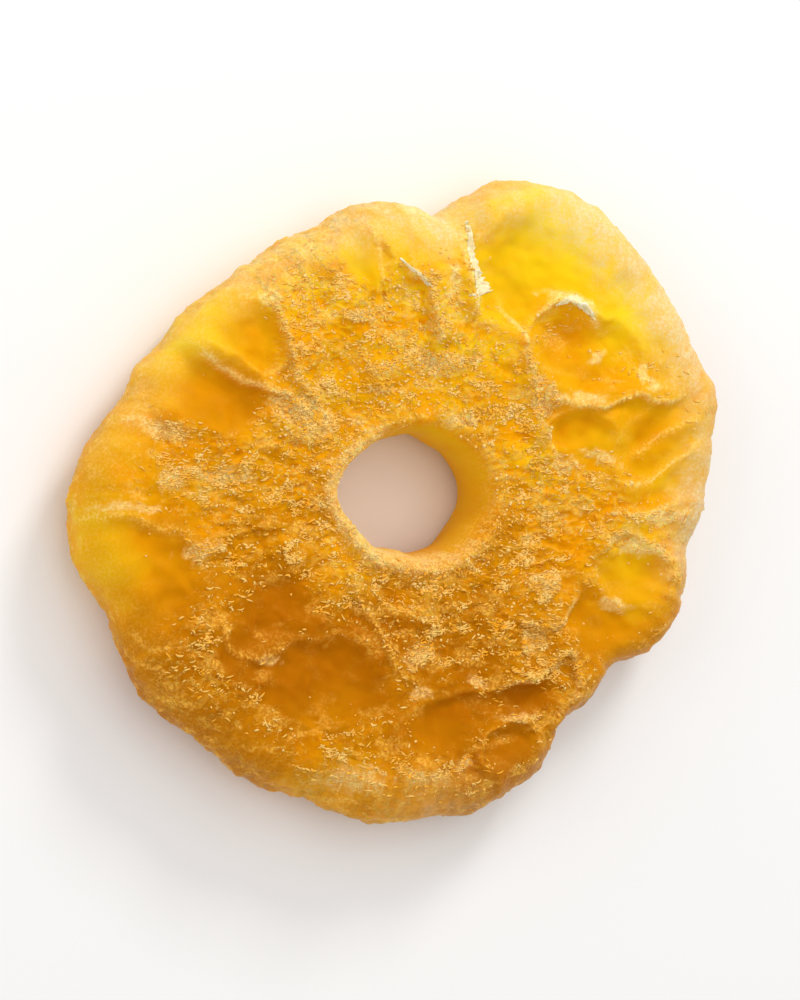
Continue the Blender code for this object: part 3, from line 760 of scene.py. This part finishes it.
def flesh_material():
    """Amber to yellow flesh after its painted light, with painted shade in its hollows, smooth in its
    pockets, with pale curls on its crests and frost on its rims.
    """
    material, shader, links, add = new_material("candied_flesh")
    place = add("ShaderNodeTexCoord").outputs["Object"]
    drawn = add("ShaderNodeVectorMath", {0: place, 1: (0.55, 1.0, 1.0)}, operation="MULTIPLY").outputs[0]
    glassy, frosted, hazy, creamy, light, crest = (attribute(add, name) for name in SHARES)
    coarse = ranged(add, glassy, 0.0, 1.0, 1.0, 0.05)

    # Noises from coarse to fine, and the winding lines of small curls
    mottle = clouds(add, place, 240.0)
    speckle = clouds(add, place, 1500.0)
    dots = ranged(add, clouds(add, place, 3000.0, 2.0), 0.46, 0.60, 0.0, 1.0)
    winding = clouds(add, drawn, 900.0, 2.0, 1.2)
    small_curls = thin_lines(add, winding, 0.045)
    fine_curls = thin_lines(add, clouds(add, drawn, 1900.0, 1.0, 0.8), 0.06)
    # Painted shade beside the small curls
    shade_beside_curls = worked(add, "MULTIPLY", ranged(add, winding, 0.56, 0.66, 0.0, 0.4), coarse)
    broken = ranged(add, clouds(add, place, 1300.0, 1.0), 0.46, 0.56, 0.0, 1.0)
    # Frost and cream, warmer in painted shade and paler in painted light
    frost = mixed(add, ranged(add, light, 0.3, 0.8, 0.0, 1.0), SHADED_FROST, FROST)
    cream = mixed(add, ranged(add, light, 0.3, 0.8, 0.0, 1.0), SHADED_CREAM, CREAM)
    thick_with = ranged(add, mottle, 0.40, 0.60, 0.2, 1.0)
    curls = worked(add, "MULTIPLY", worked(add, "MAXIMUM", small_curls, fine_curls), broken)
    flecks = worked(add, "MULTIPLY", worked(add, "MULTIPLY", curls, thick_with), coarse)

    # The flesh's colour after its painted light, then a painted glow, painted shade in its hollows, its pale
    # parts, a painted highlight on its crests, pale flecks that are partly painted glints, the film, the
    # frost and the cream
    glow = ranged(add, clouds(add, drawn, 330.0, 2.0), 0.48, 0.60, 0.0, 0.6)
    patchy = ranged(add, clouds(add, drawn, 520.0, 2.0), 0.54, 0.64, 0.0, 0.9)
    pale = worked(add, "MULTIPLY", patchy, coarse)
    pale = worked(add, "MULTIPLY", pale, ranged(add, dots, 0.0, 1.0, 0.25, 1.0))
    # The flesh's colour follows the painted light: amber where it is least, then orange, then gold or yellow
    base = mixed(add, ranged(add, light, 0.0, 0.5, 0.0, 1.0), AMBER, ORANGE)
    fully_lit = mixed(add, coarse, YELLOW, GOLD)
    base = mixed(add, ranged(add, light, 0.45, 1.0, 0.0, 1.0), base, fully_lit)
    # A painted glow in patches, where the painted light is strong enough, less in the smooth parts
    painted_glow_share = ranged(add, light, 0.1, 0.4, 0.0, 1.0)
    painted_glow_share = worked(add, "MULTIPLY", painted_glow_share, ranged(add, glassy, 0.2, 0.9, 1.0, 0.15))
    base = mixed(add, worked(add, "MULTIPLY", glow, painted_glow_share), base, GLOWING)
    # Painted shade in the lows of the fine relief and beside the curls, a painted glow there where well lit
    shade_in_hollows = worked(add, "MULTIPLY", ranged(add, crest, 0.05, 0.35, 0.5, 0.0), coarse)
    hollow_shading = mixed(add, ranged(add, light, 0.3, 0.7, 0.0, 1.0), HOLLOW_SHADE, GLOWING)
    base = mixed(add, worked(add, "MAXIMUM", shade_in_hollows, shade_beside_curls), base, hollow_shading)
    base = mixed(add, pale, base, frost)
    # A painted highlight in the frost's colour on the fine crests
    base = mixed(add, ranged(add, crest, 0.5, 1.0, 0.0, 0.4), base, frost)
    # Pale flecks along the small curls, partly curls of sugar and partly painted glints
    base = mixed(add, ranged(add, flecks, 0.1, 0.8, 0.0, 0.8), base, frost)
    rime = worked(add, "MULTIPLY", frosted, ranged(add, dots, 0.0, 1.0, 0.15, 1.0))
    base = mixed(add, worked(add, "MULTIPLY", hazy, ranged(add, dots, 0.0, 1.0, 0.5, 1.0)), base, FILM)
    base = mixed(add, rime, base, frost)
    base = mixed(add, worked(add, "MULTIPLY", creamy, ranged(add, dots, 0.0, 1.0, 0.45, 1.0)), base, cream)
    links.new(base, shader.inputs["Base Color"])

    links.new(ranged(add, glassy, 0.0, 1.0, 0.36, 0.50), shader.inputs["Roughness"])
    shader.inputs["Specular IOR Level"].default_value = FLESH_GLOSS
    shader.inputs["Specular Tint"].default_value = FLESH_GLOSS_TINT
    shader.inputs["Subsurface Weight"].default_value = FLESH_MILKY
    shader.inputs["Subsurface Radius"].default_value = FLESH_DEPTH_BY_COLOUR
    shader.inputs["Subsurface Scale"].default_value = FLESH_DEPTH

    # The finest roughness, too small for the mesh
    height = worked(add, "ADD", worked(add, "MULTIPLY", flecks, 0.8), worked(add, "MULTIPLY", speckle, 0.7))
    strength = ranged(add, glassy, 0.0, 1.0, 0.8, 0.12)
    bump = add("ShaderNodeBump", {"Height": height, "Distance": 0.00022, "Strength": strength})
    links.new(bump.outputs[0], shader.inputs["Normal"])
    return material


def height_at(points, level, x, y):
    """The height of the shown face under each place."""
    top = points[level > 0.9]
    gaps = (top[:, 0][None] - x[:, None]) ** 2 + (top[:, 1][None] - y[:, None]) ** 2
    return top[gaps.argmin(axis=1), 2]


def shred(points, level, half_widths, stands_up, line):
    """The points, row by row, of a crinkled strip of skin along a line, standing up at its left side."""
    spine = curve_through(line, SHRED_STEPS) - (FACE_SHIFT, 0.0)
    heading = np.gradient(spine, axis=0)
    heading /= np.hypot(*heading.T)[:, None]
    along = np.linspace(0.0, 1.0, SHRED_STEPS)
    width = np.interp(along, (0.0, 0.5, 1.0), half_widths)
    rows = []
    for share in np.linspace(-1.0, 1.0, SHRED_ACROSS):
        edge = 0.0 * along + np.sign(share)
        ragged = 1.0 + SHRED_RAGGED * unevenness(spine[:, 0], spine[:, 1], edge, 0.5, 8.8)
        out = width * np.maximum(ragged, 0.1) * share
        x = spine[:, 0] - heading[:, 1] * out
        y = spine[:, 1] + heading[:, 0] * out
        lift = stands_up * (0.5 + 0.5 * share) ** 1.5 * np.sqrt(np.sin(np.pi * np.clip(along, 0.02, 0.98)))
        crinkle = SHRED_CRINKLE * unevenness(x, y, 0.0 * x + 2.0 * share, 0.6, 4.4)
        rows.append(np.column_stack((x, y, height_at(points, level, x, y) + lift + crinkle)))
    return np.stack(rows, axis=1).reshape(-1, 3)


def shred_faces(first):
    """The faces of one strip whose points start at the given number."""
    step, across = np.divmod(np.arange((SHRED_STEPS - 1) * (SHRED_ACROSS - 1)), SHRED_ACROSS - 1)
    corner = first + step * SHRED_ACROSS + across
    return np.column_stack((corner, corner + 1, corner + SHRED_ACROSS + 1, corner + SHRED_ACROSS))


def torn_shreds(points, level, shift):
    """All the shreds as one thin closed mesh."""
    strips = [shred(points, level, *sizes) for sizes in SHREDS]
    faces = [shred_faces(number * SHRED_STEPS * SHRED_ACROSS) for number in range(len(strips))]
    torn = mesh_object("torn_shreds", np.vstack(strips) + shift, np.vstack(faces))
    thick = torn.modifiers.new("thick", "SOLIDIFY")
    thick.thickness = SHRED_THICKNESS * TO_METRES
    thick.offset = 0.0
    return torn


def shred_material():
    """Dry, pale skin."""
    material, shader, links, add = new_material("torn_skin")
    place = add("ShaderNodeTexCoord").outputs["Object"]
    patches = ranged(add, clouds(add, place, 900.0), 0.38, 0.62, 0.0, 1.0)
    links.new(mixed(add, patches, *SKIN_SHADES), shader.inputs["Base Color"])
    links.new(ranged(add, patches, 0.0, 1.0, 0.5, 0.7), shader.inputs["Roughness"])
    shader.inputs["Specular IOR Level"].default_value = 0.15
    crinkled = clouds(add, place, 2200.0)
    bump = add("ShaderNodeBump", {"Height": crinkled, "Distance": 0.0001, "Strength": 0.7})
    links.new(bump.outputs[0], shader.inputs["Normal"])
    return material


def sugar_grains(points, normals, light, wanted, chance):
    """Small many-sided grains, half sunk in the flesh, thickest where the frost is."""
    draw = np.random.default_rng(SEED)
    picked = draw.choice(len(points), size=wanted, replace=False, p=chance / chance.sum())
    corners = np.array([(1, 0, 0), (-1, 0, 0), (0, 1, 0), (0, -1, 0), (0, 0, 1), (0, 0, -1)], float)
    upper = [(0, 2, 4), (2, 1, 4), (1, 3, 4), (3, 0, 4)]
    lower = [(2, 0, 5), (1, 2, 5), (3, 1, 5), (0, 3, 5)]
    sides = np.array(upper + lower)
    size = SUGAR_LEAST + (SUGAR_MOST - SUGAR_LEAST) * draw.random(wanted) ** 3.0
    stretch = 1.0 + SUGAR_STRETCH * draw.random((wanted, 1, 3))
    jitter = 1.0 + SUGAR_UNEVEN * draw.standard_normal((wanted, len(corners), 1))
    turns = draw.standard_normal((wanted, 4))
    turns /= np.linalg.norm(turns, axis=1)[:, None]
    w, i, j, k = turns.T
    spin = np.array([
        [1 - 2 * (j * j + k * k), 2 * (i * j - k * w), 2 * (i * k + j * w)],
        [2 * (i * j + k * w), 1 - 2 * (i * i + k * k), 2 * (j * k - i * w)],
        [2 * (i * k - j * w), 2 * (j * k + i * w), 1 - 2 * (i * i + j * j)],
    ]).transpose(2, 0, 1)
    shapes = corners[None] * stretch * jitter * size[:, None, None]
    shapes = np.einsum("nab,ncb->nca", spin, shapes)
    centres = points[picked] - normals[picked] * (SUGAR_SUNK * size)[:, None]
    centres = centres + SUGAR_STRAY * draw.standard_normal((wanted, 3)) * (1.0 - np.abs(normals[picked]))
    placed = (shapes + centres[:, None]).reshape(-1, 3)
    faces = (sides[None] + len(corners) * np.arange(wanted)[:, None, None]).reshape(-1, 3)
    sugar = mesh_object("sugar_frost", placed, faces)
    # The flesh's painted light at each grain, which the sugar's colour follows
    store(sugar.data, "light", np.repeat(light[picked], len(corners)))
    return sugar


def sugar_curls(points, normals, light, wanted, chance):
    """Short bent threads of dried fibre and sugar, pointed at both ends, that lie mostly along X."""
    draw = np.random.default_rng(SEED + 1)
    picked = draw.choice(len(points), size=wanted, replace=False, p=chance / chance.sum())
    out = normals[picked]
    stray = CURL_STRAY * draw.standard_normal(wanted)
    heading = np.column_stack((np.cos(stray), np.sin(stray), np.zeros(wanted)))
    heading -= out * (heading * out).sum(axis=1)[:, None]
    heading /= np.linalg.norm(heading, axis=1)[:, None]
    beside = np.cross(out, heading)
    length = CURL_SHORT + (CURL_LONG - CURL_SHORT) * draw.random(wanted) ** 2.0
    thick = CURL_THIN + (CURL_THICK - CURL_THIN) * draw.random(wanted)
    bend = CURL_BEND * draw.standard_normal(wanted)
    bend = np.where(np.abs(bend) < 0.1, 0.1, bend)
    rise = CURL_SLOPE * draw.standard_normal(wanted)
    along = np.linspace(-0.5, 0.5, CURL_RINGS)
    turned = bend[:, None] * along
    forward = length[:, None] * np.sin(turned) / bend[:, None]
    aside = length[:, None] * (1.0 - np.cos(turned)) / bend[:, None]
    upward = thick[:, None] * 0.4 + rise[:, None] * along
    spine = points[picked][:, None] + heading[:, None] * forward[..., None]
    spine = spine + beside[:, None] * aside[..., None] + out[:, None] * upward[..., None]
    radius = thick[:, None] * (1.0 - CURL_TAPER * (2.0 * along) ** 2)
    corner = np.radians((90.0, 210.0, 330.0))
    across = -heading[:, None] * np.sin(turned)[..., None] + beside[:, None] * np.cos(turned)[..., None]
    widths = CURL_WIDER * across[:, :, None] * np.cos(corner)[:, None]
    heights = out[:, None, None] * np.sin(corner)[:, None]
    shapes = spine[:, :, None] + radius[..., None, None] * (widths + heights)
    ring, place = np.divmod(np.arange((CURL_RINGS - 1) * 3), 3)
    beyond = (place + 1) % 3
    here, next_ring = 3 * ring, 3 * ring + 3
    sides = np.column_stack((here + place, here + beyond, next_ring + beyond, next_ring + place))
    triangles = np.vstack((sides[:, (0, 1, 2)], sides[:, (0, 2, 3)]))
    last = 3 * CURL_RINGS
    triangles = np.vstack((triangles, (0, 2, 1), (last - 3, last - 2, last - 1)))
    faces = (triangles[None] + last * np.arange(wanted)[:, None, None]).reshape(-1, 3)
    curls = mesh_object("sugar_curls", shapes.reshape(-1, 3), faces)
    # The flesh's painted light at each curl, which the sugar's colour follows
    store(curls.data, "light", np.repeat(light[picked], last))
    return curls


def sugar_material(name, shades, gloss):
    """Warm, milky sugar, paler where the flesh below it gets more painted light."""
    material, shader, links, add = new_material(name)
    place = add("ShaderNodeTexCoord").outputs["Object"]
    tint = ranged(add, clouds(add, place, 700.0), 0.38, 0.62, 0.0, 1.0)
    # The painted light of the flesh below, which gives the sugar lit and shaded colours
    light = ranged(add, attribute(add, "light"), 0.2, 0.9, 0.0, 1.0)
    in_painted_shade, in_painted_light = mixed(add, tint, *shades[:2]), mixed(add, tint, *shades[2:])
    links.new(mixed(add, light, in_painted_shade, in_painted_light), shader.inputs["Base Color"])
    links.new(ranged(add, tint, 0.0, 1.0, 0.2, 0.4), shader.inputs["Roughness"])
    shader.inputs["Specular IOR Level"].default_value = gloss
    shader.inputs["Specular Tint"].default_value = SUGAR_GLOSS_TINT
    return material


def pale_floor():
    """A wide pale floor, which isn't part of the ring."""
    bpy.ops.mesh.primitive_plane_add(size=4.0, location=(0.0, 0.0, -FLOOR_GAP * TO_METRES))
    floor = bpy.context.object
    floor.name = "floor"
    material, shader, links, add = new_material("pale_floor")
    place = add("ShaderNodeTexCoord").outputs["Object"]
    cloud = clouds(add, place, 3.0)
    links.new(mixed(add, cloud, *FLOOR_SHADES), shader.inputs["Base Color"])
    shader.inputs["Roughness"].default_value = 0.8
    floor.data.materials.append(material)


def soft_light(name, place, watts, size, colour):
    """A square soft light that faces the ring."""
    lamp = bpy.data.lights.new(name, "AREA")
    lamp.energy = watts
    lamp.size = size
    lamp.color = colour
    held = bpy.data.objects.new(name, lamp)
    held.location = place
    held.rotation_euler = (-Vector(place)).to_track_quat("-Z", "Y").to_euler()
    bpy.context.scene.collection.objects.link(held)


def studio():
    """Soft light from the face's upper right and from overhead, weaker light from its left, a pale world."""
    for light in LIGHTS:
        soft_light(*light)
    world = bpy.data.worlds.new("studio")
    bpy.context.scene.world = world
    world.use_nodes = True
    world.node_tree.nodes["Background"].inputs[0].default_value = WORLD_COLOUR
    world.node_tree.nodes["Background"].inputs[1].default_value = WORLD_STRENGTH
    bpy.context.scene.view_settings.view_transform = "Standard"


def camera():
    """Looks down on the ring from its left, with the top of the shown face at the top of the picture."""
    lens = bpy.data.cameras.new("camera")
    lens.lens = CAMERA_LENS
    lens.clip_start = 0.01
    held = bpy.data.objects.new("camera", lens)
    off = math.radians(CAMERA_OFF_AXIS)
    back = Vector((-math.sin(off), 0.0, math.cos(off)))
    right = Vector((0.0, 1.0, 0.0)).cross(back).normalized()
    up = back.cross(right)
    aim = Vector((0.0, 0.0, 0.5 * THICKNESS * TO_METRES))
    turn = Matrix((right, up, back)).transposed().to_4x4()
    held.matrix_world = Matrix.Translation(aim + back * CAMERA_DISTANCE) @ turn
    bpy.context.scene.collection.objects.link(held)
    bpy.context.scene.camera = held


camera()
studio()
pale_floor()

flesh, points, shift, glassy, frosted, creamy, light, level = flesh_mesh()
flesh.data.materials.append(flesh_material())
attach(flesh, "root")
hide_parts(NODE)

shreds = torn_shreds(points, level, shift)
shreds.data.materials.append(shred_material())
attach(shreds, "root")

normals = normals_of(flesh.data)
x, y, z = points.T
clusters = smooth_step(0.05, 0.7, unevenness(x / FIBRE_STRETCH, y, z, SUGAR_CLUSTER_SIZE, 91.0))
chance = BARE_CHANCE + FROST_CHANCE * frosted + CLUSTER_CHANCE * clusters + CREAM_CHANCE * creamy
chance = chance * (1.0 - glassy) ** 3
chance = chance * smooth_step(0.88, 0.98, level)
radius = np.hypot(x, y)
from_hole = radius - hole_radius(np.degrees(np.arctan2(y, x)))
curled = chance * radius * smooth_step(CURLS_FROM, CURLS_FULL, from_hole)
sugar = sugar_grains(points + shift, normals, light, SUGAR_GRAINS, chance + TOP_CHANCE * (level > 0.98))
curls = sugar_curls(points + shift, normals, light, SUGAR_CURLS, curled)
sugar.data.materials.append(sugar_material("sugar_grain", GRAIN_SHADES, GRAIN_GLOSS))
curls.data.materials.append(sugar_material("sugar_curl", CURL_SHADES, CURL_GLOSS))
for piece in (sugar, curls):
    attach(piece, "root")
